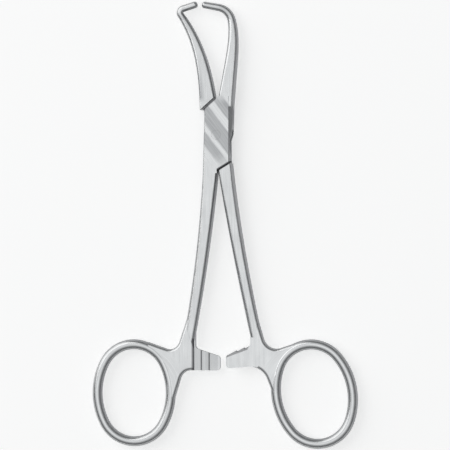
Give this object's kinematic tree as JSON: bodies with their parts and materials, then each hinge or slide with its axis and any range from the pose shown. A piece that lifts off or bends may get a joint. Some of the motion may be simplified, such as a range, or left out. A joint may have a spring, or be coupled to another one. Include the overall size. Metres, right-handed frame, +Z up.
{
  "type": "vasectomy clamp",
  "caption": "Ring-handled surgical clamp with a box lock, an interlocking ratchet and two tapered jaws whose bent round tips meet in a small open loop.",
  "frame": {"origin": "on the pivot axis, in the plane of the lock's lower face, on which the clamp lies", "axes": "+Y along the clamp towards the jaw tips, +Z up through its thickness, +X towards the ring of the tongue half"},
  "size_m": [0.0849, 0.14, 0.0048],
  "materials": {
    "steel": "satin",
    "pin_steel": "ground flush"
  },
  "bodies": {
    "box_side": {"box_half": "steel", "pivot_pin": "pin_steel"},
    "tongue_side": {"tongue_half": "steel"}
  },
  "joints": [
    {"name": "box_lock_pivot", "type": "hinge", "parent": "box_side", "child": "tongue_side", "pos_m": [0, 0, 0.0024], "axis": [0, 0, 1], "range_deg": [-1.6, 60]}
  ]
}
